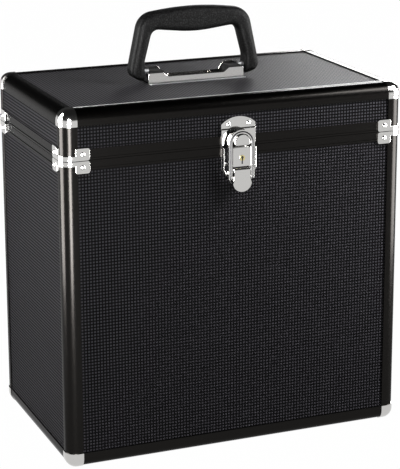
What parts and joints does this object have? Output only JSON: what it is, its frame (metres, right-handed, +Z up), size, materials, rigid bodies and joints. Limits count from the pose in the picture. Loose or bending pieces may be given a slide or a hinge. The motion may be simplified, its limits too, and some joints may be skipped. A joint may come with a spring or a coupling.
{
  "type": "record carrying case",
  "caption": "Upright box case for 12-inch records with metal-edged panels, ball corners, a hinged lid, a locking draw latch and a swinging top grip.",
  "frame": {"origin": "on the ground, at the centre of the bounding box", "axes": "+Z up, +X to the right seen from the latch side, +Y from the latch side to the hinge side"},
  "size_m": [0.3748, 0.239, 0.4491],
  "materials": {
    "laminate": "black embossed laminate on plywood",
    "edging": "satin black anodised",
    "chrome": "bright",
    "steel": "zinc plated",
    "brass": "polished",
    "grip": "fine leather grain",
    "rubber": "matt",
    "lining": "black felt on foam"
  },
  "bodies": {
    "base": {"base_back_panel": "laminate", "base_ball_corners": "chrome", "base_bottom_panel": "laminate", "base_bottom_rail_back": "edging", "base_bottom_rail_front": "edging", "base_bottom_rail_left": "edging", "base_bottom_rail_right": "edging", "base_front_panel": "laminate", "base_hinge_leaves": "chrome", "base_left_panel": "laminate", "base_lining": "lining", "base_post_back_left": "edging", "base_post_back_right": "edging", "base_post_front_left": "edging", "base_post_front_right": "edging", "base_right_panel": "laminate", "base_rim_back": "edging", "base_rim_front": "edging", "base_rim_left": "edging", "base_rim_right": "edging", "base_rivets": "chrome", "base_seam_brackets": "chrome", "foot_screws": "steel", "hinge_pins": "steel", "latch_base_plate": "chrome", "latch_lever_pin": "steel", "latch_lock_box": "chrome", "rubber_feet": "rubber"},
    "lid": {"handle_channel": "chrome", "handle_pins": "steel", "latch_strike_plate": "chrome", "lid_back_panel": "laminate", "lid_ball_corners": "chrome", "lid_front_panel": "laminate", "lid_hinge_leaves": "chrome", "lid_left_panel": "laminate", "lid_lining": "lining", "lid_post_back_left": "edging", "lid_post_back_right": "edging", "lid_post_front_left": "edging", "lid_post_front_right": "edging", "lid_right_panel": "laminate", "lid_rim_back": "edging", "lid_rim_front": "edging", "lid_rim_left": "edging", "lid_rim_right": "edging", "lid_rivets": "chrome", "lid_seam_brackets": "chrome", "lid_top_panel": "laminate", "lid_top_rail_back": "edging", "lid_top_rail_front": "edging", "lid_top_rail_left": "edging", "lid_top_rail_right": "edging"},
    "grip": {"handle_grip": "grip"},
    "lever": {"latch_lever": "chrome"},
    "bail": {"latch_bail": "chrome"},
    "plug": {"lock_plug": "brass"},
    "bolt": {"lock_bolt": "steel"}
  },
  "joints": [
    {"name": "lid_hinge", "type": "hinge", "parent": "base", "child": "lid", "pos_m": [0, 0.11615, 0.323], "axis": [-1, 0, 0], "range_deg": [0, 95]},
    {"name": "handle_swing", "type": "hinge", "parent": "lid", "child": "grip", "pos_m": [-0.004, 0.00245, 0.384], "axis": [1, 0, 0], "range_deg": [-85, 85]},
    {"name": "latch_lever_turn", "type": "hinge", "parent": "base", "child": "lever", "pos_m": [0, -0.11635, 0.3003], "axis": [-1, 0, 0], "range_deg": [0, 100]},
    {"name": "latch_bail_turn", "type": "hinge", "parent": "lever", "child": "bail", "pos_m": [0, -0.11575, 0.2927], "axis": [-1, 0, 0], "range_deg": [-125.5, 0]},
    {"name": "lock_turn", "type": "hinge", "parent": "base", "child": "plug", "pos_m": [0, -0.11805, 0.3128], "axis": [0, -1, 0], "range_deg": [0, 92]},
    {"name": "lock_bolt_slide", "type": "slide", "parent": "base", "child": "bolt", "axis": [0, 0, -1], "range_m": [0, 0.006]}
  ],
  "couplings": [
    {"joint": "latch_bail_turn", "follows": "latch_lever_turn", "ratio": -1.25},
    {"joint": "lock_turn", "follows": "lock_bolt_slide", "rad_per_m": 261.8}
  ]
}
